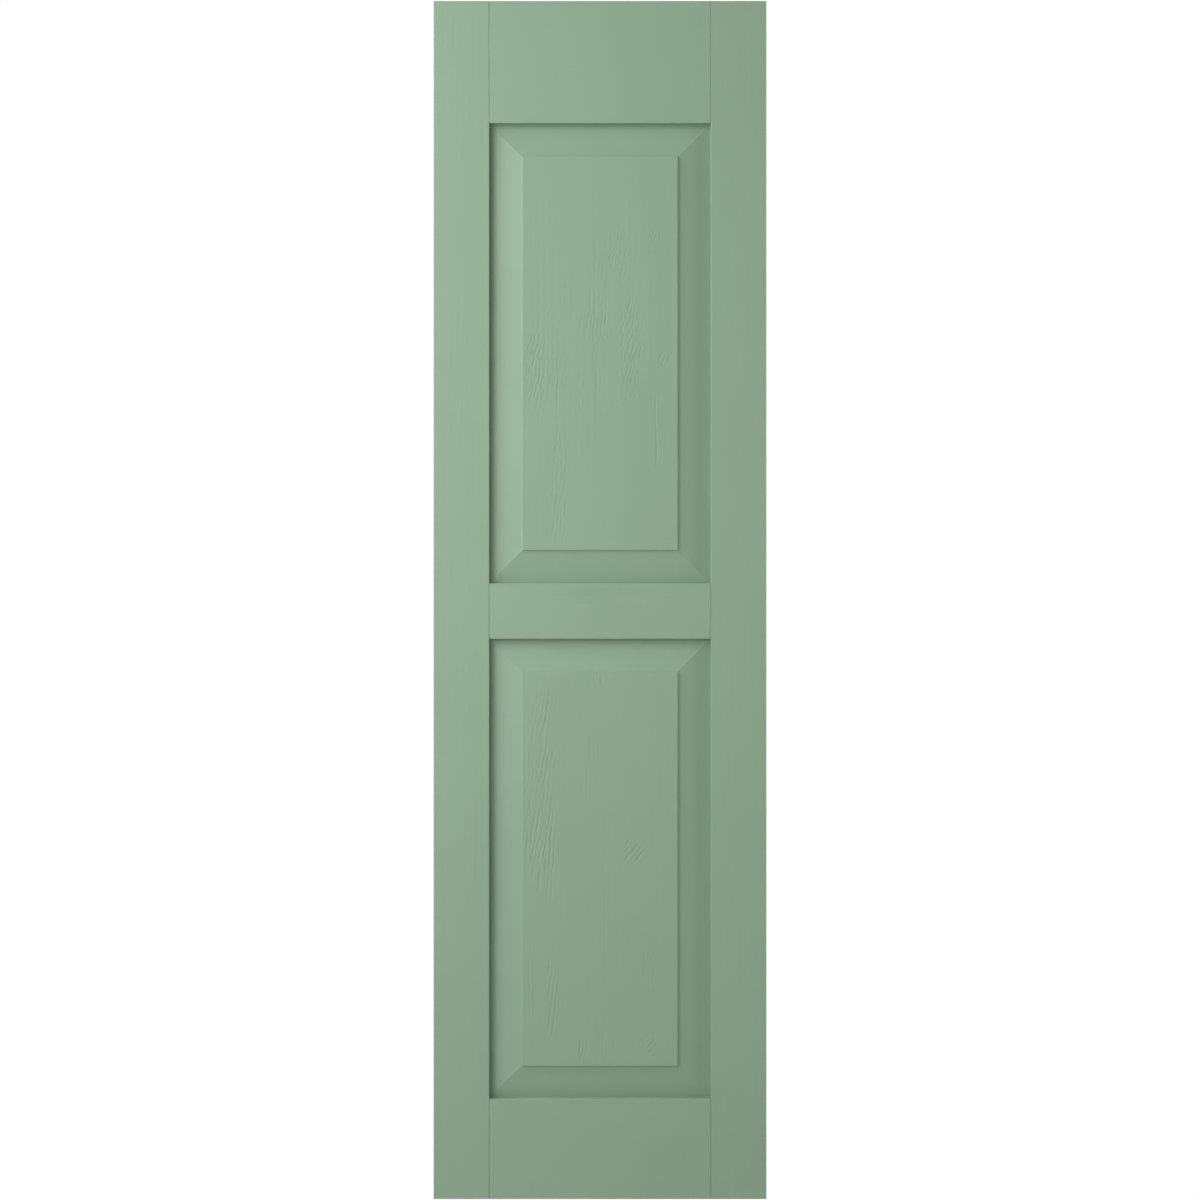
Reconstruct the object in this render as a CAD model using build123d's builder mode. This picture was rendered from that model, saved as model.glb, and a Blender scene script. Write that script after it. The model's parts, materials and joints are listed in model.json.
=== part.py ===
from build123d import *

import os
from math import atan, degrees

# Leaf of an exterior window shutter: a stile-and-rail frame in painted softwood with two raised panels.
# Millimetres. +Z is up, the face looks along -Y, and the back lies in the plane Y = 0, against the wall.
# The origin is the middle of the back, half way up, on the back of the middle rail. Depths are measured
# from the wall towards the face, so a depth d is the plane Y = -d, which is Plane.XZ.offset(d).

# Leaf
leaf_width = 381.0
leaf_height = 1371.6
stock_thickness = 28.6

# Frame members, as seen from the face
stile_width = 63.5
top_rail_height = 139.7
middle_rail_height = 63.5
bottom_rail_height = 114.3
arris_radius = 0.4
joint_line_width = 0.3
joint_line_depth = 1.5

# Plough groove for the panels, the same in stiles and rails
groove_width = 9.5
groove_depth = 12.7
groove_setback = 9.2

# Haunched stub mortise and tenon joints
tenon_length = 38.1
mortise_relief = 1.5
joint_play = 0.1
top_haunch_height = 31.8
bottom_haunch_height = 25.4

# Raised panels
field_margin = 38.1
field_step = 2.5
field_setback = 0.3
field_arris_radius = 0.25
tongue_play = 0.15
tongue_arris = 0.8
side_swell_gap = 3.2
top_swell_gap = 1.6

# Levels and spans worked out from the sizes above
opening_width = leaf_width - 2 * stile_width
opening_height = (leaf_height - top_rail_height - middle_rail_height - bottom_rail_height) / 2
leaf_top = leaf_height / 2
leaf_bottom = -leaf_height / 2
lower_opening_bottom = leaf_bottom + bottom_rail_height
lower_opening_top = lower_opening_bottom + opening_height
upper_opening_bottom = lower_opening_top + middle_rail_height
upper_opening_top = upper_opening_bottom + opening_height
groove_front = stock_thickness - groove_setback
groove_back = groove_front - groove_width
top_tenon = (upper_opening_top + groove_depth, leaf_top - top_haunch_height)
middle_tenon = (lower_opening_top + groove_depth, upper_opening_bottom - groove_depth)
bottom_tenon = (leaf_bottom + bottom_haunch_height, lower_opening_bottom - groove_depth)


def ease_arrises(builder):
    """Round the edges of the face that looks out and of the one against the wall."""
    faces = builder.faces().sort_by(Axis.Y)
    fillet(faces[0].edges() + faces[-1].edges(), radius=arris_radius)


def rail_section(bottom, top):
    """End view of a rail, in a sketch on Plane.YZ."""
    with Locations((-stock_thickness / 2, (bottom + top) / 2)):
        Rectangle(stock_thickness, top - bottom)


def groove_section(opening_edge, side):
    """The plough groove in a rail, in the same sketch, on the side of its edge given by the alignment."""
    with Locations((-groove_front, opening_edge)):
        Rectangle(groove_width, groove_depth, align=(Align.MIN, side), mode=Mode.SUBTRACT)


def joint_lines(bottom, top):
    """The strips at both ends of a rail's face that stay clear of the stiles, on Plane.XZ."""
    with Locations((0, (bottom + top) / 2)):
        Rectangle(opening_width, top - bottom)
        Rectangle(opening_width - 2 * joint_line_width, top - bottom, mode=Mode.SUBTRACT)


def tongue_outline(bottom, top, length):
    """Face view of a tenon or haunch that stands out past both shoulders of a rail, on Plane.XZ."""
    with Locations((0, (bottom + top) / 2)):
        Rectangle(opening_width + 2 * length, top - bottom)


# Stiles: full height, ploughed along the inner edge and mortised for the three rails
with BuildPart() as left_stile:
    with BuildSketch(Plane.XY.offset(leaf_bottom)):
        with Locations((-leaf_width / 2, -stock_thickness)):
            Rectangle(stile_width, stock_thickness, align=(Align.MIN, Align.MIN))
        with Locations((-opening_width / 2, -groove_front)):
            Rectangle(groove_depth, groove_width, align=(Align.MAX, Align.MIN), mode=Mode.SUBTRACT)
    extrude(amount=leaf_height)
    ease_arrises(left_stile)
    with BuildSketch(Plane.XZ.offset(groove_back)):
        for tenon_bottom, tenon_top in (top_tenon, middle_tenon, bottom_tenon):
            with Locations((-opening_width / 2, (tenon_bottom + tenon_top) / 2)):
                Rectangle(
                    tenon_length + mortise_relief,
                    tenon_top - tenon_bottom + 2 * joint_play,
                    align=(Align.MAX, Align.CENTER),
                )
    extrude(amount=groove_width, mode=Mode.SUBTRACT)

with BuildPart() as right_stile:
    mirror(left_stile.part, about=Plane.YZ)

# Rails: between the stiles, ploughed where a panel meets them, with a tenon at each end. Their shoulders
# bear on the stiles except for a fine open line at the face. The haunches of the top and bottom rails fill
# the ends of the stile grooves.
with BuildPart() as top_rail:
    with BuildSketch(Plane.YZ.offset(-opening_width / 2)):
        rail_section(upper_opening_top, leaf_top)
        groove_section(upper_opening_top, Align.MIN)
    extrude(amount=opening_width)
    with BuildSketch(Plane.XZ.offset(stock_thickness - joint_line_depth)):
        joint_lines(upper_opening_top, leaf_top)
    extrude(amount=joint_line_depth, mode=Mode.SUBTRACT)
    ease_arrises(top_rail)
    with BuildSketch(Plane.XZ.offset(groove_back + joint_play)):
        tongue_outline(*top_tenon, tenon_length)
        tongue_outline(leaf_top - top_haunch_height, leaf_top, groove_depth - joint_play)
    extrude(amount=groove_width - 2 * joint_play)

with BuildPart() as middle_rail:
    with BuildSketch(Plane.YZ.offset(-opening_width / 2)):
        rail_section(lower_opening_top, upper_opening_bottom)
        groove_section(lower_opening_top, Align.MIN)
        groove_section(upper_opening_bottom, Align.MAX)
    extrude(amount=opening_width)
    with BuildSketch(Plane.XZ.offset(stock_thickness - joint_line_depth)):
        joint_lines(lower_opening_top, upper_opening_bottom)
    extrude(amount=joint_line_depth, mode=Mode.SUBTRACT)
    ease_arrises(middle_rail)
    with BuildSketch(Plane.XZ.offset(groove_back + joint_play)):
        tongue_outline(*middle_tenon, tenon_length)
    extrude(amount=groove_width - 2 * joint_play)

with BuildPart() as bottom_rail:
    with BuildSketch(Plane.YZ.offset(-opening_width / 2)):
        rail_section(leaf_bottom, lower_opening_bottom)
        groove_section(lower_opening_bottom, Align.MAX)
    extrude(amount=opening_width)
    with BuildSketch(Plane.XZ.offset(stock_thickness - joint_line_depth)):
        joint_lines(leaf_bottom, lower_opening_bottom)
    extrude(amount=joint_line_depth, mode=Mode.SUBTRACT)
    ease_arrises(bottom_rail)
    with BuildSketch(Plane.XZ.offset(groove_back + joint_play)):
        tongue_outline(*bottom_tenon, tenon_length)
        tongue_outline(leaf_bottom, leaf_bottom + bottom_haunch_height, groove_depth - joint_play)
    extrude(amount=groove_width - 2 * joint_play)

# Raised panels: each seats on the groove floor below it and has room to swell at the sides and the top.
# A thin tongue runs in the grooves, the bevelled margin climbs from the sight line, and a small step
# sets off the flat field.
tongue_back = groove_back + tongue_play
tongue_front = groove_front - tongue_play
bevel_front = stock_thickness - field_setback - field_step
bevel_rise = bevel_front - tongue_front
tongue_height = opening_height + 2 * groove_depth - top_swell_gap

with BuildPart() as lower_panel:
    with BuildSketch(Plane.XZ.offset(tongue_back)):
        with Locations((0, lower_opening_bottom - groove_depth)):
            Rectangle(
                opening_width + 2 * (groove_depth - side_swell_gap),
                tongue_height,
                align=(Align.CENTER, Align.MIN),
            )
    extrude(amount=tongue_front - tongue_back)
    chamfer(lower_panel.edges().filter_by(Axis.Y), length=tongue_arris)
    with BuildSketch(Plane.XZ.offset(tongue_front)):
        with Locations((0, (lower_opening_bottom + lower_opening_top) / 2)):
            Rectangle(opening_width, opening_height)
    extrude(amount=bevel_rise, taper=degrees(atan(field_margin / bevel_rise)))
    with BuildSketch(Plane.XZ.offset(bevel_front)):
        with Locations((0, (lower_opening_bottom + lower_opening_top) / 2)):
            Rectangle(opening_width - 2 * field_margin, opening_height - 2 * field_margin)
    extrude(amount=field_step)
    fillet(lower_panel.faces().sort_by(Axis.Y)[0].edges(), radius=field_arris_radius)

with BuildPart() as upper_panel:
    with Locations((0, 0, upper_opening_bottom - lower_opening_bottom)):
        add(lower_panel.part)

pieces = {
    "left_stile": left_stile,
    "right_stile": right_stile,
    "top_rail": top_rail,
    "middle_rail": middle_rail,
    "bottom_rail": bottom_rail,
    "lower_panel": lower_panel,
    "upper_panel": upper_panel,
}

os.makedirs("parts", exist_ok=True)
for label, piece in pieces.items():
    piece.part.label = label
    export_step(piece.part, f"parts/{label}.step")
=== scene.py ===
import json
from math import atan, cos, pi, radians, sin

import bpy
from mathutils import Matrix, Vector

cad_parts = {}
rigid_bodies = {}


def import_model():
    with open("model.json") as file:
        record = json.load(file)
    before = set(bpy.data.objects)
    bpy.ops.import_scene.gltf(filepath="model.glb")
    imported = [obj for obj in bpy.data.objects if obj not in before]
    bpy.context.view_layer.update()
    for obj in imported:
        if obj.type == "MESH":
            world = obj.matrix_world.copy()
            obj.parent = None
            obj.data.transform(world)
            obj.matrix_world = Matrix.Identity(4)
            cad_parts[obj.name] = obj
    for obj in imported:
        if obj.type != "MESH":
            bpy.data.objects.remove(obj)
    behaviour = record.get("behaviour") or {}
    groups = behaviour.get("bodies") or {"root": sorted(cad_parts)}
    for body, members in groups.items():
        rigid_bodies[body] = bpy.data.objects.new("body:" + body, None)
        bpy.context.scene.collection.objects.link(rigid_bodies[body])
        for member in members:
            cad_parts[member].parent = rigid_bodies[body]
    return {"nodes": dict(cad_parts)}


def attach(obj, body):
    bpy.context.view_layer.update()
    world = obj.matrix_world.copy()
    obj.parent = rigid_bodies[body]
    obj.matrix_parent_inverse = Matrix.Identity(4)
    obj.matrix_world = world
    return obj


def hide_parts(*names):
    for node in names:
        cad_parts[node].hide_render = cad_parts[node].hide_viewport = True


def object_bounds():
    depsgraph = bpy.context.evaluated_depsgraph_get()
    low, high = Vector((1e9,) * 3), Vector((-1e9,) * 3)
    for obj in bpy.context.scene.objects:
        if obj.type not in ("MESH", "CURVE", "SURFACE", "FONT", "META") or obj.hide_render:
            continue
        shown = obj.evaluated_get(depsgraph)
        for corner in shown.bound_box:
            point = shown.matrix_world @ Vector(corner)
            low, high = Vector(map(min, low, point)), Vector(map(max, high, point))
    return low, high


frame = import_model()

# Painted softwood window shutter under soft studio light. Metres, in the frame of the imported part: the face
# looks along -Y, +Z is up, and the origin is the middle of the back.

cad_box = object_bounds()
face_depth = -cad_box[0][1]

# Colours are linear
SAGE_PAINT = (0.264, 0.387, 0.267)
# The deeper sage is the darker tone of the streaks, pores, patches and end grain, and is also painted shade in the
# grooves of the grain
DEEP_SAGE_AND_GROOVE_SHADE = (0.236, 0.353, 0.243)
THIN_SAGE = (0.302, 0.424, 0.300)
FLOOR_WHITE = (0.85, 0.85, 0.84)

# The camera faces the middle of the shutter and frames 1.3737 m of its face from top to bottom
CAMERA_DISTANCE = 2.40
FRAMED_HEIGHT = 1.3737

# Studio: each softbox is (degrees round to the right of the camera, degrees up, watts) and faces the shutter. The
# floor glows a little, and turns white between the two distances of its fade.
FLOOR_DROP = 1.59
FLOOR_SIZE = 5.6
FLOOR_FADE = (0.5, 2.5)
FLOOR_GLOW = 0.55
SOFTBOX_DISTANCE = 1.9
SOFTBOX_WIDTH = 1.1
SOFTBOXES = {
    "raking key": (-80, 30, 21.9),
    "side": (-50, 0, 5.8),
    "side above": (-50, 30, 13.2),
    "side below": (-40, -30, 1.7),
    "high left": (-30, 15, 5.1),
    "front": (-10, 0, 4.3),
    "right": (80, 10, 15.6),
    "back left": (-158, 20, 13.0),
    "back right": (158, 20, 13.0),
}
AMBIENT = 0.10

# The pith of the trees that the boards come from, in millimetres across the grain. It lies behind the back.
PITH = (0, 90, 0)

# Millimetres in a metre, for the coordinates that the grain is laid out in
TO_MM = 1000

# Faces are chosen by how squarely they look one way and by their area, in square metres: a whole face of a piece,
# or one block of its grid, and never the narrow faces of its arrises
SQUARE_ON = 0.9999
WHOLE_FACE = 1e-3
GRID_BLOCK = 1e-5

# Vertices nearer than this, in metres, are one. Faces that meet at less than the first angle are one face, and at
# less than the second are shaded smooth.
MERGE_DISTANCE = 1e-6
FLAT_ANGLE = radians(0.2)
SMOOTH_ANGLE = radians(32)

# The fine grids that carry the grain stay clear of the arrises by the guard, in metres, and each of their blocks is
# cut this many times both ways
GUARD = 0.0004
MEMBER_CUTS = 79
FIELD_CUTS = 80
BEVEL_CUTS = 26

# Where the grain shows through the paint, in millimetres on the face of each piece. Each figure is (across,
# along, half width, half length, slant, line spacing, groove depth, stroke length), across and along the grain.
UPPER_FIGURES = [
    (-74, 268, 13, 42, 0.28, 4.2, 0.22, 14),
    (-62, 270, 22, 58, 0.24, 4.8, 0.13, 16),
    (-48, 254, 4, 36, 0.02, 5.0, 0.19, 40),
    (-6, 316, 17, 20, 0.15, 4.2, 0.18, 11),
    (-2, 322, 9, 84, 0.02, 4.8, 0.15, 34),
    (-22, 236, 6, 24, 0.00, 4.4, 0.13, 18),
    (-40, 354, 6, 15, 0.05, 4.6, 0.12, 14),
    (22, 398, 12, 34, 0.35, 4.0, 0.19, 11),
    (36, 282, 14, 58, 0.30, 4.6, 0.20, 13),
    (64, 190, 2.5, 40, -0.01, 7.0, 0.28, 120),
    (73, 275, 6, 12, 0.45, 4.8, 0.28, 18),
    (-46, 118, 9, 76, 0.08, 4.4, 0.22, 13),
    (64, 412, 7, 11, 0.30, 4.2, 0.36, 12),
]
LOWER_FIGURES = [
    (-68, -158, 10, 84, 0.22, 4.8, 0.19, 55),
    (-82, -190, 7, 62, 0.24, 4.2, 0.15, 13),
    (-60, -190, 8, 106, 0.14, 5.0, 0.17, 60),
    (-70, -272, 17, 50, 0.16, 4.2, 0.33, 30),
    (-57, -294, 6, 52, 0.08, 4.6, 0.32, 50),
    (-11, -186, 12, 42, 0.00, 4.8, 0.13, 26),
    (37, -288, 13, 14, 0.80, 6.6, 0.55, 60),
    (5, -370, 7, 62, 0.00, 5.0, 0.12, 30),
    (-80, -444, 8, 44, 0.00, 4.4, 0.20, 24),
    (-54, -452, 7, 54, 0.13, 4.4, 0.30, 28),
    (-20, -514, 7, 14, 0.20, 4.0, 0.30, 14),
    (3, -506, 7, 30, 0.00, 4.8, 0.16, 24),
    (56, -430, 10, 26, 0.20, 4.4, 0.24, 13),
    (56, -511, 10, 12, 0.75, 5.6, 0.30, 30),
    (-6, -92, 9, 16, 0.05, 4.2, 0.28, 18),
]
MIDDLE_RAIL_FIGURES = [(3, -4, 9, 30, 0.00, 3.6, 0.15, 26), (6, 10, 9, 108, 0.01, 5.0, 0.08, 40)]
LEFT_STILE_FIGURES = [
    (-159, 216, 9, 14, 0.20, 4.0, 0.13, 13),
    (-160, 252, 16, 62, 0.06, 5.0, 0.06, 24),
    (-149, -340, 7, 13, 0.15, 4.0, 0.12, 14),
]
RIGHT_STILE_FIGURES = [(179, -406, 6, 8, 0.45, 3.6, 0.20, 12), (143, -334, 11, 34, 0.20, 4.8, 0.07, 18)]

# Faint streaks that run all over, in millimetres: the width and length of the fine and of the broad ones, how deep
# the fine ones are on the stiles and panels and on the rails, and how deep the broad ones are everywhere
FINE_STREAK = (3.4, 150)
BROAD_STREAK = (21, 420)
UPRIGHT_STREAKS = 0.17
LEVEL_STREAKS = 0.09
BROAD_STREAKS = 0.16

# Grooves in those figures, in millimetres: half their width at the widest, the share of it at the thinnest, how far
# they wander, and how much they ripple, which is more where the strokes are short
GROOVE_HALF_WIDTH = 1.7
THINNEST = 0.55
SWAY = 6.0
RIPPLE = 80.0

# How uneven the outline of a figure is, and the two reaches that it fades out between, where its oval is 1
EDGE_UNEVENNESS = 2.0
FIGURE_FADE = (0.60, 1.80)

# Size across and along the grain, in millimetres, of the noise that makes the sway, the ripple and the outline
SWAY_SIZE = (18, 36)
RIPPLE_SIZE = (5.5, 10)
EDGE_SIZE = (7, 26)

# Another noise breaks each line into strokes: there is none under the first of its levels and a whole one over the
# second, and the groove widens between the next two. Strokes get scarcer away from the middle of the figure. Lines
# and figures take their noise from places this far apart, so that no two match.
STROKE_LEVELS = (0.32, 0.44)
WIDTH_LEVELS = (0.36, 0.66)
SCARCER = 0.15
LINE_SHIFT = 3.7
FIGURE_SHIFT = 7.3

# Roughness of the paint, and the height in metres that its bump is measured in
SATIN = 0.50
PAINT_RELIEF = 0.00003


def put(tree, kind, feeds=None, output=0, **settings):
    """Add a node, give it its settings and feed its inputs with links or plain values."""
    node = tree.nodes.new(kind)
    for name, value in settings.items():
        setattr(node, name, value)
    for name, feed in (feeds or {}).items():
        if isinstance(feed, bpy.types.NodeSocket):
            tree.links.new(feed, node.inputs[name])
        else:
            node.inputs[name].default_value = feed
    return node.outputs[output]


def calc(tree, operation, *feeds):
    return put(tree, "ShaderNodeMath", dict(enumerate(feeds)), operation=operation)


def ramp(tree, value, low, high, start=0.0, end=1.0):
    """Turn a value between two levels smoothly into one between two others, and hold it there outside them."""
    feeds = {"Value": value, "From Min": low, "From Max": high, "To Min": start, "To Max": end}
    return put(tree, "ShaderNodeMapRange", feeds, interpolation_type="SMOOTHSTEP")


def noise(tree, vector, detail=2.0, roughness=0.5):
    """Noise between 0 and 1 with features about one unit of the vector across."""
    feeds = {"Vector": vector, "Scale": 1.0, "Detail": detail, "Roughness": roughness}
    return put(tree, "ShaderNodeTexNoise", feeds)


def blend(tree, factor, first, second):
    """A colour between two others. The factor may run a little past either end."""
    feeds = {0: factor, 6: first, 7: second}
    return put(tree, "ShaderNodeMix", feeds, output=2, data_type="RGBA", clamp_factor=False)


def stretched(tree, across, along, seed, width, length):
    """Grain coordinates in units that are much longer along the grain than across it."""
    feeds = {"X": calc(tree, "DIVIDE", across, width), "Y": calc(tree, "DIVIDE", along, length), "Z": seed}
    return put(tree, "ShaderNodeCombineXYZ", feeds)


def add_up(tree, value, *parts):
    """Add masks to a value, each times its own weight."""
    for mask, weight in parts:
        value = calc(tree, "MULTIPLY_ADD", mask, weight, value)
    return value


def put_group(tree, node_tree, **feeds):
    """Add a shader node group and feed its inputs."""
    node = tree.nodes.new("ShaderNodeGroup")
    node.node_tree = node_tree
    for label, feed in feeds.items():
        tree.links.new(feed, node.inputs[label])
    return node


def new_group(name, tree_type, inputs, outputs):
    """A node group with named inputs, each with its starting value, and named outputs."""
    group = bpy.data.node_groups.new(name, tree_type)
    for label, value in inputs.items():
        kind = "NodeSocketVector" if value is None else "NodeSocketFloat"
        socket = group.interface.new_socket(label, in_out="INPUT", socket_type=kind)
        if value is not None:
            socket.default_value = value
    for label in outputs:
        group.interface.new_socket(label, in_out="OUTPUT", socket_type="NodeSocketFloat")
    return group, group.nodes.new("NodeGroupInput").outputs, group.nodes.new("NodeGroupOutput").inputs


# Grain in the shape of the wood

def long_streaks_group():
    """Gentle ridges left by the plane and by the harder rings, in millimetres of height."""
    group, given, out = new_group(
        "long streaks", "GeometryNodeTree", {"Across": 0.0, "Along": 0.0, "Seed": 0.0, "Depth": 0.1}, ["Height"]
    )
    fine = noise(group, stretched(group, given["Across"], given["Along"], given["Seed"], *FINE_STREAK), 2.0)
    broad = noise(group, stretched(group, given["Across"], given["Along"], given["Seed"], *BROAD_STREAK), 1.0)
    fine_height = calc(group, "MULTIPLY", calc(group, "SUBTRACT", fine, 0.5), given["Depth"])
    broad_height = calc(group, "MULTIPLY", calc(group, "SUBTRACT", broad, 0.5), BROAD_STREAKS)
    group.links.new(calc(group, "ADD", fine_height, broad_height), out["Height"])
    return group


def figure_group():
    """A patch of open grain: short wavy grooves that run along the grain, 0 on the flat and 1 in a groove."""
    group, given, out = new_group(
        "grain figure",
        "GeometryNodeTree",
        {
            "Across": 0.0, "Along": 0.0, "Seed": 0.0, "Centre Across": 0.0, "Centre Along": 0.0,
            "Half Width": 10.0, "Half Length": 40.0, "Slant": 0.0, "Spacing": 4.0, "Stroke": 24.0,
        },
        ["Groove"],
    )

    def wander(size):
        spread = stretched(group, given["Across"], given["Along"], given["Seed"], *size)
        return calc(group, "SUBTRACT", noise(group, spread, 1.0), 0.5)

    off_across = calc(group, "SUBTRACT", given["Across"], given["Centre Across"])
    off_along = calc(group, "SUBTRACT", given["Along"], given["Centre Along"])
    reach_across = calc(group, "DIVIDE", off_across, given["Half Width"])
    reach_along = calc(group, "DIVIDE", off_along, given["Half Length"])
    reach = calc(
        group, "ADD",
        calc(group, "MULTIPLY", reach_across, reach_across), calc(group, "MULTIPLY", reach_along, reach_along),
    )
    reach = calc(group, "MULTIPLY_ADD", wander(EDGE_SIZE), EDGE_UNEVENNESS, reach)
    patch = ramp(group, reach, *FIGURE_FADE, 1.0, 0.0)
    swayed = calc(group, "MULTIPLY_ADD", wander(SWAY_SIZE), SWAY, off_across)
    ripple_reach = calc(group, "DIVIDE", RIPPLE, given["Stroke"])
    swayed = calc(group, "MULTIPLY_ADD", wander(RIPPLE_SIZE), ripple_reach, swayed)
    leaned = calc(group, "SUBTRACT", swayed, calc(group, "MULTIPLY", off_along, given["Slant"]))
    from_line = calc(group, "PINGPONG", leaned, calc(group, "MULTIPLY", given["Spacing"], 0.5))
    line = calc(group, "ROUND", calc(group, "DIVIDE", leaned, given["Spacing"]))
    along_line = {
        "X": calc(group, "MULTIPLY", line, LINE_SHIFT),
        "Y": calc(group, "DIVIDE", given["Along"], given["Stroke"]),
        "Z": given["Seed"],
    }
    dash = noise(group, put(group, "ShaderNodeCombineXYZ", along_line), 1.0)
    scarce = calc(group, "MULTIPLY_ADD", calc(group, "MAXIMUM", reach, 0.0), -SCARCER, dash)
    stroke = ramp(group, scarce, *STROKE_LEVELS)
    half_width = ramp(group, dash, *WIDTH_LEVELS, THINNEST * GROOVE_HALF_WIDTH, GROOVE_HALF_WIDTH)
    groove = ramp(group, from_line, 0.0, half_width, 1.0, 0.0)
    group.links.new(calc(group, "MULTIPLY", calc(group, "MULTIPLY", groove, patch), stroke), out["Groove"])
    return group


def grain_tree(name, upright, figures, seed):
    """Nodes that move a face's fine grid out and in by the grain, and note how deep its grooves are."""
    tree = bpy.data.node_groups.new(name, "GeometryNodeTree")
    tree.interface.new_socket("Geometry", in_out="INPUT", socket_type="NodeSocketGeometry")
    tree.interface.new_socket("Geometry", in_out="OUTPUT", socket_type="NodeSocketGeometry")
    given, out = tree.nodes.new("NodeGroupInput").outputs, tree.nodes.new("NodeGroupOutput").inputs
    place = tree.nodes.new("ShaderNodeSeparateXYZ")
    tree.links.new(put(tree, "GeometryNodeInputPosition"), place.inputs[0])
    level, up = (calc(tree, "MULTIPLY", place.outputs[axis], TO_MM) for axis in "XZ")
    across, along = (level, up) if upright else (up, level)
    common = {"Across": across, "Along": along, "Seed": float(seed)}
    streaks = {**common, "Depth": UPRIGHT_STREAKS if upright else LEVEL_STREAKS}
    height = put(tree, "GeometryNodeGroup", streaks, node_tree=long_streaks)
    grooves = 0.0
    labels = ("Centre Across", "Centre Along", "Half Width", "Half Length", "Slant", "Spacing")
    for number, (*layout, depth, stroke) in enumerate(figures):
        figure = {**dict(zip(labels, layout)), "Stroke": stroke, "Seed": seed + FIGURE_SHIFT * number}
        groove = put(tree, "GeometryNodeGroup", {**common, **figure}, node_tree=grain_figure)
        height = calc(tree, "SUBTRACT", height, calc(tree, "MULTIPLY", groove, depth))
        grooves = calc(tree, "MAXIMUM", groove, grooves)
    hold = put(tree, "GeometryNodeInputNamedAttribute", {"Name": "grid"}, data_type="FLOAT")
    lift = calc(tree, "MULTIPLY", calc(tree, "MULTIPLY", height, hold), -1 / TO_MM)
    moved = put(
        tree, "GeometryNodeSetPosition",
        {"Geometry": given[0], "Offset": put(tree, "ShaderNodeCombineXYZ", {"Y": lift})},
    )
    # The groove depth is kept on the mesh; the paint darkens there as painted shade in the grooves
    noted = put(
        tree, "GeometryNodeStoreNamedAttribute",
        {"Geometry": moved, "Name": "groove", "Value": calc(tree, "MULTIPLY", grooves, hold)},
        data_type="FLOAT", domain="POINT",
    )
    tree.links.new(noted, out[0])
    return tree


# Making the pieces

def pick(piece):
    bpy.ops.object.select_all(action="DESELECT")
    piece.select_set(True)
    bpy.context.view_layer.objects.active = piece


def work_on(piece, chosen=None):
    """Take one piece into edit mode with nothing selected, or only the faces that the test picks."""
    pick(piece)
    bpy.ops.object.mode_set(mode="EDIT")
    bpy.ops.mesh.select_mode(type="FACE")
    bpy.ops.mesh.select_all(action="DESELECT")
    if chosen:
        bpy.ops.object.mode_set(mode="OBJECT")
        for face in piece.data.polygons:
            face.select = chosen(face)
        bpy.ops.object.mode_set(mode="EDIT")


def whole_copy(node):
    """A copy of a CAD piece with its triangles joined into whole faces again."""
    piece = bpy.data.objects.new(f"painted_{node.name}", node.data.copy())
    bpy.context.collection.objects.link(piece)
    work_on(piece)
    bpy.ops.mesh.select_all(action="SELECT")
    bpy.ops.mesh.customdata_custom_splitnormals_clear()
    bpy.ops.mesh.remove_doubles(threshold=MERGE_DISTANCE)
    bpy.ops.mesh.dissolve_limited(angle_limit=FLAT_ANGLE)
    bpy.ops.object.mode_set(mode="OBJECT")
    return piece


def lay_grid(piece, chosen, columns, rows, cuts):
    """Divide a face into columns and rows of cells, and each cell into a fine grid, inside a narrow border."""
    work_on(piece, chosen)
    bpy.ops.mesh.inset(thickness=GUARD, depth=0)
    bpy.ops.object.mode_set(mode="OBJECT")
    corners = [piece.data.vertices[v].co.copy() for f in piece.data.polygons if f.select for v in f.vertices]
    low = [min(c[axis] for c in corners) for axis in range(3)]
    high = [max(c[axis] for c in corners) for axis in range(3)]
    inner = {f.index for f in piece.data.polygons if f.select}
    facing = piece.data.polygons[min(inner)].normal.copy()

    def inside(face):
        within = all(
            low[axis] - MERGE_DISTANCE < face.center[axis] < high[axis] + MERGE_DISTANCE for axis in range(3)
        )
        return within and face.normal.dot(facing) > SQUARE_ON and face.area > GRID_BLOCK

    for axis, pieces_across in ((0, columns), (2, rows)):
        for step in range(1, pieces_across):
            cut = [0.0, 0.0, 0.0]
            cut[axis] = low[axis] + (high[axis] - low[axis]) * step / pieces_across
            normal = [float(axis == 0), 0.0, float(axis == 2)]
            work_on(piece, inside)
            bpy.ops.mesh.bisect(plane_co=cut, plane_no=normal)
            bpy.ops.object.mode_set(mode="OBJECT")
    work_on(piece, inside)
    bpy.ops.mesh.subdivide(number_cuts=cuts)
    bpy.ops.mesh.select_less()
    bpy.ops.object.vertex_group_assign()
    bpy.ops.object.mode_set(mode="OBJECT")


def raise_grain(piece, upright, figures, seed):
    """Shape the grain into the piece's fine grid, then smooth its shading."""
    pick(piece)
    relief = piece.modifiers.new("grain", "NODES")
    relief.node_group = grain_tree(f"{piece.name} grain", upright, figures, seed)
    bpy.ops.object.modifier_apply(modifier=relief.name)
    bpy.ops.object.shade_smooth_by_angle(angle=SMOOTH_ANGLE)
    piece.modifiers.new("flat faces", "WEIGHTED_NORMAL").keep_sharp = True
    bpy.ops.object.modifier_apply(modifier="flat faces")


def finish_piece(node, piece, upright, figures, seed):
    """Grain, paint, and the CAD piece that this one stands for."""
    raise_grain(piece, upright, figures, seed)
    piece.data.materials.clear()
    piece.data.materials.append(paint_upright if upright else paint_level)
    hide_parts(node.name)
    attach(piece, "root")


def on_the_face(face):
    """A test for the whole faces in the front plane of the shutter."""
    return face.normal.y < -SQUARE_ON and face.center.y < 1 / TO_MM - face_depth and face.area > WHOLE_FACE


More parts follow.
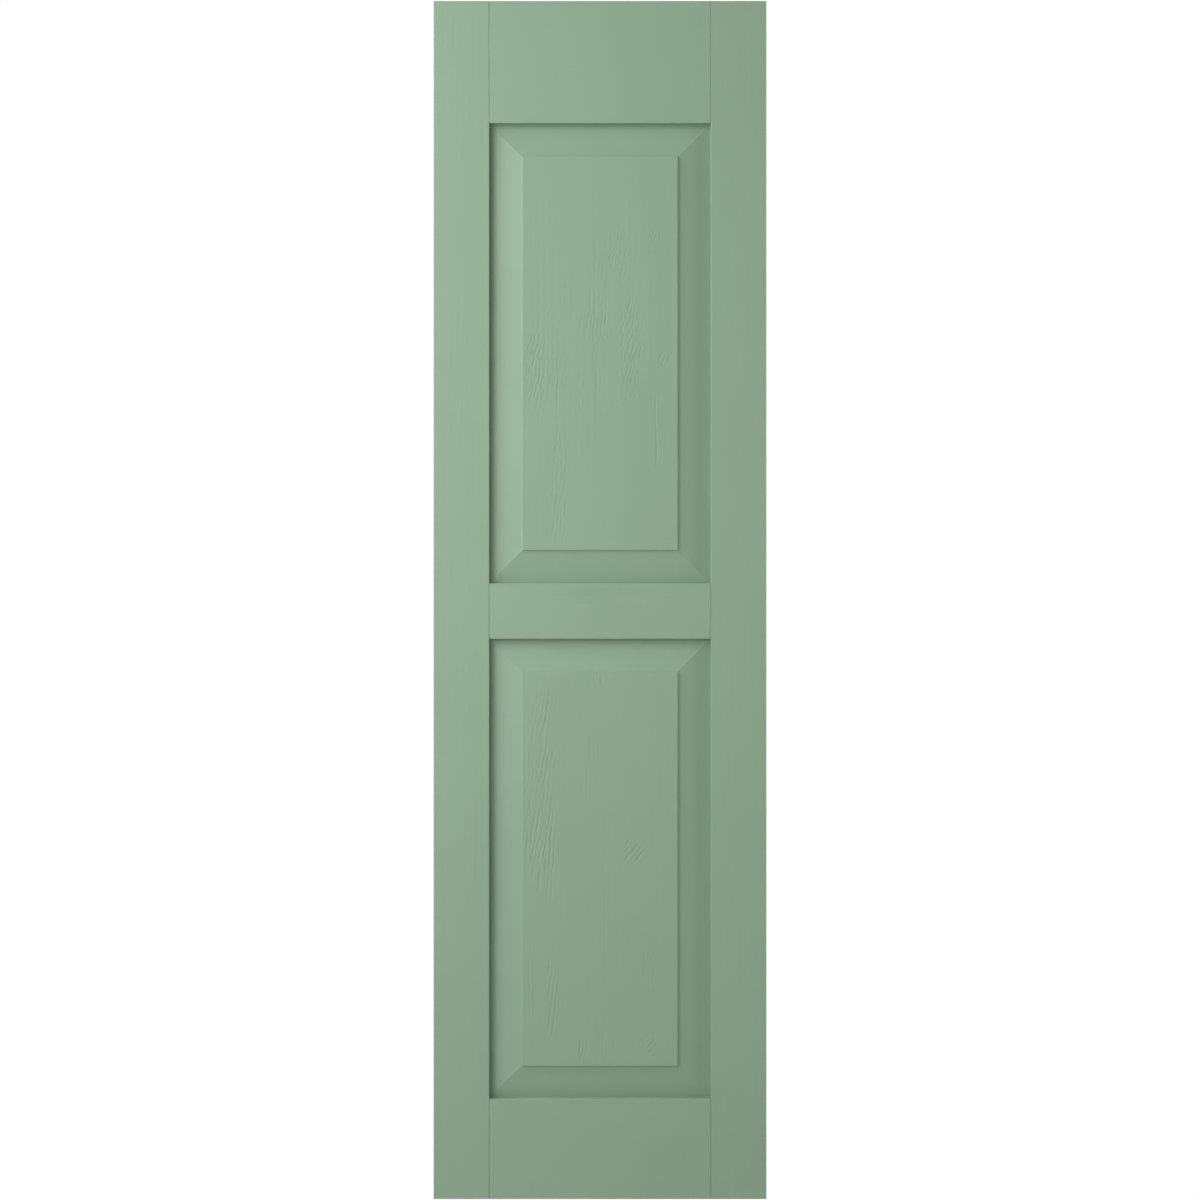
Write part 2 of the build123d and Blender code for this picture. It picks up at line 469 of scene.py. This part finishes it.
def dress_frame_member(name, upright, columns, rows, figures, seed):
    """A stile or rail: its face carries the grain."""
    node = frame["nodes"][name]
    piece = whole_copy(node)
    piece.vertex_groups.new(name="grid")
    lay_grid(piece, on_the_face, columns, rows, MEMBER_CUTS)
    finish_piece(node, piece, upright, figures, seed)


def on_a_bevel(axis, side):
    """A test for the bevel on one side of a panel's field: axis 0 is left and right, and axis 2 is up and down."""
    return lambda face: face.normal.y < -0.9 and side * face.normal[axis] > 0.1 and face.area > WHOLE_FACE


def dress_panel(name, figures, seed):
    """A raised panel: the field carries the figured grain, and the four bevels round it the plain grain."""
    node = frame["nodes"][name]
    piece = whole_copy(node)
    piece.vertex_groups.new(name="grid")
    lay_grid(piece, on_the_face, 3, 4, FIELD_CUTS)
    for side in (-1, 1):
        lay_grid(piece, on_a_bevel(0, side), 1, 3, BEVEL_CUTS)
        lay_grid(piece, on_a_bevel(2, side), 6, 1, BEVEL_CUTS)
    finish_piece(node, piece, True, figures, seed)


# Paint

def painted_grain_group():
    """What the wood does to the paint over it. Streaks run along the grain, which is the Z of the coordinates,
    pores are short fine dashes, and the yearly rings are stripes on the faces and arcs on the ends."""
    group, given, out = new_group(
        "painted grain", "ShaderNodeTree",
        {
            "Vector": None, "Streak Width": 1.7, "Streak Length": 85.0, "Pore Width": 0.55,
            "Pore Length": 7.0, "Ring Spacing": 3.6,
        },
        ["Streaks", "Pores", "Rings"],
    )

    def along_grain(width, length):
        scale = put(group, "ShaderNodeCombineXYZ", {"X": width, "Y": width, "Z": length})
        return put(group, "ShaderNodeVectorMath", {0: given["Vector"], 1: scale}, operation="DIVIDE")

    streaks = noise(group, along_grain(given["Streak Width"], given["Streak Length"]), 3.0, 0.55)
    pores = noise(group, along_grain(given["Pore Width"], given["Pore Length"]), 1.0)
    across = put(group, "ShaderNodeVectorMath", {0: given["Vector"], 1: (1, 1, 0)}, operation="MULTIPLY")
    from_pith = put(group, "ShaderNodeVectorMath", {0: across, 1: PITH}, output="Value", operation="DISTANCE")
    wander = noise(group, along_grain(30.0, 240.0), 2.0)
    wandered = calc(group, "MULTIPLY_ADD", wander, 14.0, from_pith)
    turn = calc(group, "DIVIDE", wandered, given["Ring Spacing"])
    late_wood = ramp(group, calc(group, "PINGPONG", turn, 1.0), 0.35, 0.95)
    group.links.new(streaks, out["Streaks"])
    group.links.new(ramp(group, pores, 0.62, 0.74), out["Pores"])
    group.links.new(late_wood, out["Rings"])
    return group


def paint_film_group():
    """The film itself: fine brush marks, a faint orange peel and broad patches of a slightly different sheen."""
    group, given, out = new_group(
        "paint film", "ShaderNodeTree",
        {"Vector": None, "Brush Width": 0.5, "Brush Length": 45.0, "Peel Size": 2.2, "Patch Size": 85.0},
        ["Brush Marks", "Orange Peel", "Patches"],
    )
    brush = put(
        group, "ShaderNodeCombineXYZ",
        {"X": given["Brush Width"], "Y": given["Brush Width"], "Z": given["Brush Length"]},
    )
    brushed = put(group, "ShaderNodeVectorMath", {0: given["Vector"], 1: brush}, operation="DIVIDE")

    def evenly(size):
        scale = calc(group, "DIVIDE", 1.0, size)
        return put(group, "ShaderNodeVectorMath", {0: given["Vector"], "Scale": scale}, operation="SCALE")

    group.links.new(noise(group, brushed, 1.0), out["Brush Marks"])
    group.links.new(noise(group, evenly(given["Peel Size"]), 1.0), out["Orange Peel"])
    group.links.new(noise(group, evenly(given["Patch Size"]), 2.0), out["Patches"])
    return group


def edges_and_ends_group():
    """Where the paint lies differently: thin on the eased arrises, and soaked in on the end grain. The normal is
    turned so that the grain is its Z."""
    group, given, out = new_group(
        "edges and ends", "ShaderNodeTree", {"Vector": None, "Normal": None}, ["Arrises", "End Grain"]
    )
    facing = put(group, "ShaderNodeVectorMath", {0: given["Normal"]}, operation="ABSOLUTE")
    parts = group.nodes.new("ShaderNodeSeparateXYZ")
    group.links.new(facing, parts.inputs[0])
    most = calc(group, "MAXIMUM", calc(group, "MAXIMUM", parts.outputs[0], parts.outputs[1]), parts.outputs[2])
    patchy = put(group, "ShaderNodeVectorMath", {0: given["Vector"], 1: (6, 6, 18)}, operation="DIVIDE")
    rubbed = ramp(group, noise(group, patchy), 0.30, 0.70, 0.35, 1.0)
    group.links.new(calc(group, "MULTIPLY", ramp(group, most, 0.92, 0.975, 1.0, 0.0), rubbed), out["Arrises"])
    group.links.new(ramp(group, parts.outputs[2], 0.80, 0.95), out["End Grain"])
    return group


def sage_paint(name, upright):
    """Satin sage paint, brushed along the grain of the piece."""
    material = bpy.data.materials.new(name)
    material.use_nodes = True
    tree = material.node_tree
    shader = tree.nodes["Principled BSDF"]
    turn = (0, 0, 0) if upright else (0, pi / 2, 0)
    millimetres = put(
        tree, "ShaderNodeMapping",
        {
            "Vector": put(tree, "ShaderNodeTexCoord", output="Object"),
            "Rotation": turn, "Scale": (TO_MM, TO_MM, TO_MM),
        },
    )
    facing = put(
        tree, "ShaderNodeMapping",
        {"Vector": put(tree, "ShaderNodeNewGeometry", output="Normal"), "Rotation": turn},
        vector_type="NORMAL",
    )
    grain, film, place = (
        put_group(tree, node_tree, Vector=millimetres) for node_tree in (painted_grain, paint_film, edges_and_ends)
    )
    tree.links.new(facing, place.inputs["Normal"])
    streaks, pores, rings = (grain.outputs[label] for label in ("Streaks", "Pores", "Rings"))
    patches = calc(tree, "SUBTRACT", film.outputs["Patches"], 0.5)
    arrises, end_grain = place.outputs["Arrises"], place.outputs["End Grain"]
    # How deep the grooves are here, as the mesh noted it: below, it darkens the colour as painted shade in the
    # grooves and roughens them a little
    groove = put(tree, "ShaderNodeAttribute", output="Fac", attribute_name="groove")

    ring_height = calc(tree, "ADD", end_grain, 0.10)
    height = add_up(
        tree, 0.0,
        (streaks, 0.55), (film.outputs["Brush Marks"], 0.12), (film.outputs["Orange Peel"], 0.25),
        (pores, -0.20), (rings, ring_height),
    )
    bump = put(tree, "ShaderNodeBump", {"Height": height, "Strength": 1.0, "Distance": PAINT_RELIEF})
    tree.links.new(bump, shader.inputs["Normal"])

    # Darker where the grain, pores, patches and end grain are, and in the grooves, where the darkening is painted
    # shade
    ring_depth = calc(tree, "MULTIPLY_ADD", rings, 0.6, 0.2)
    deep = add_up(
        tree, 0.0,
        (pores, 0.15), (groove, 0.12), (patches, 0.50), (calc(tree, "SUBTRACT", streaks, 0.5), 0.25),
        (end_grain, ring_depth),
    )
    colour = blend(tree, deep, (*SAGE_PAINT, 1), (*DEEP_SAGE_AND_GROOVE_SHADE, 1))
    colour = blend(tree, calc(tree, "MULTIPLY", arrises, 0.15), colour, (*THIN_SAGE, 1))
    tree.links.new(colour, shader.inputs["Base Color"])

    sheen = add_up(tree, SATIN, (patches, 0.14), (pores, 0.10), (arrises, -0.06), (end_grain, 0.14), (groove, 0.08))
    tree.links.new(sheen, shader.inputs["Roughness"])
    return material


# Studio

def aim(thing, target):
    """Turn a light or a camera so that it looks at a point."""
    thing.rotation_euler = (Vector(target) - thing.location).to_track_quat("-Z", "Y").to_euler()


def hang_softboxes():
    for name, (round_angle, up_angle, watts) in SOFTBOXES.items():
        light = bpy.data.lights.new(name, "AREA")
        light.shape = "DISK"
        light.size = SOFTBOX_WIDTH
        light.energy = watts
        lamp = bpy.data.objects.new(name, light)
        turn, tilt = radians(round_angle), radians(up_angle)
        lamp.location = SOFTBOX_DISTANCE * Vector((sin(turn) * cos(tilt), -cos(turn) * cos(tilt), sin(tilt)))
        lamp.visible_camera = False
        aim(lamp, (0, 0, 0))
        bpy.context.collection.objects.link(lamp)


def background_rays(tree):
    """1 for what the camera, a mirror or clear glass sees, and 0 for the light that falls on things."""
    seen = tree.nodes.new("ShaderNodeLightPath").outputs
    either = calc(tree, "MAXIMUM", seen["Is Camera Ray"], seen["Is Glossy Ray"])
    return calc(tree, "MAXIMUM", either, seen["Is Transmission Ray"])


def white_surroundings():
    """A soft even light from all round, which the camera and mirror-like surfaces see as plain white."""
    world = bpy.data.worlds.new("studio")
    world.use_nodes = True
    tree = world.node_tree
    fill = tree.nodes["Background"]
    fill.inputs["Color"].default_value = (1, 1, 1, 1)
    fill.inputs["Strength"].default_value = AMBIENT
    white = put(tree, "ShaderNodeBackground", {"Color": (1, 1, 1, 1), "Strength": 1.0})
    mixed = put(tree, "ShaderNodeMixShader", {0: background_rays(tree), 1: fill.outputs[0], 2: white})
    tree.links.new(mixed, tree.nodes["World Output"].inputs["Surface"])
    bpy.context.scene.world = world


def floor_material():
    """Pale and matt. It fades into the white surroundings at its rim, and hides nothing from a camera below."""
    material = bpy.data.materials.new("studio floor")
    material.use_nodes = True
    tree = material.node_tree
    shader = tree.nodes["Principled BSDF"]
    shader.inputs["Base Color"].default_value = (*FLOOR_WHITE, 1)
    shader.inputs["Roughness"].default_value = 0.9
    place = put(tree, "ShaderNodeTexCoord", output="Object")
    level = put(tree, "ShaderNodeVectorMath", {0: place, 1: (1, 1, 0)}, operation="MULTIPLY")
    reach = put(tree, "ShaderNodeVectorMath", {0: level}, output="Value", operation="LENGTH")
    faded = calc(tree, "MULTIPLY", ramp(tree, reach, *FLOOR_FADE, FLOOR_GLOW, 1.0), background_rays(tree))
    white = put(tree, "ShaderNodeEmission", {"Color": (1, 1, 1, 1), "Strength": 1.0})
    pale = put(tree, "ShaderNodeMixShader", {0: faded, 1: shader.outputs[0], 2: white})
    below = put(tree, "ShaderNodeNewGeometry", output="Backfacing")
    clear = put(tree, "ShaderNodeBsdfTransparent")
    mixed = put(tree, "ShaderNodeMixShader", {0: below, 1: pale, 2: clear})
    tree.links.new(mixed, tree.nodes["Material Output"].inputs["Surface"])
    return material


def lay_floor():
    bpy.ops.object.select_all(action="DESELECT")
    bpy.ops.mesh.primitive_plane_add(size=FLOOR_SIZE, location=(0, 0, -FLOOR_DROP))
    floor = bpy.context.object
    floor.name = "studio_floor"
    bpy.ops.object.transform_apply(location=True)
    floor.data.materials.append(floor_material())


def place_camera():
    camera = bpy.data.objects.new("camera", bpy.data.cameras.new("camera"))
    camera.data.angle = 2 * atan(FRAMED_HEIGHT / 2 / CAMERA_DISTANCE)
    camera.location = (0, -face_depth - CAMERA_DISTANCE, 0)
    camera.rotation_euler = (pi / 2, 0, 0)
    bpy.context.collection.objects.link(camera)
    bpy.context.scene.camera = camera


long_streaks = long_streaks_group()
grain_figure = figure_group()
painted_grain = painted_grain_group()
paint_film = paint_film_group()
edges_and_ends = edges_and_ends_group()
paint_upright = sage_paint("sage paint, upright grain", True)
paint_level = sage_paint("sage paint, level grain", False)

dress_frame_member("left_stile", True, 1, 5, LEFT_STILE_FIGURES, 11)
dress_frame_member("right_stile", True, 1, 5, RIGHT_STILE_FIGURES, 23)
dress_frame_member("top_rail", False, 1, 2, [], 37)
dress_frame_member("middle_rail", False, 1, 1, MIDDLE_RAIL_FIGURES, 41)
dress_frame_member("bottom_rail", False, 1, 2, [], 53)
dress_panel("upper_panel", UPPER_FIGURES, 67)
dress_panel("lower_panel", LOWER_FIGURES, 79)

lay_floor()
hang_softboxes()
white_surroundings()
place_camera()
bpy.context.scene.view_settings.view_transform = "Standard"
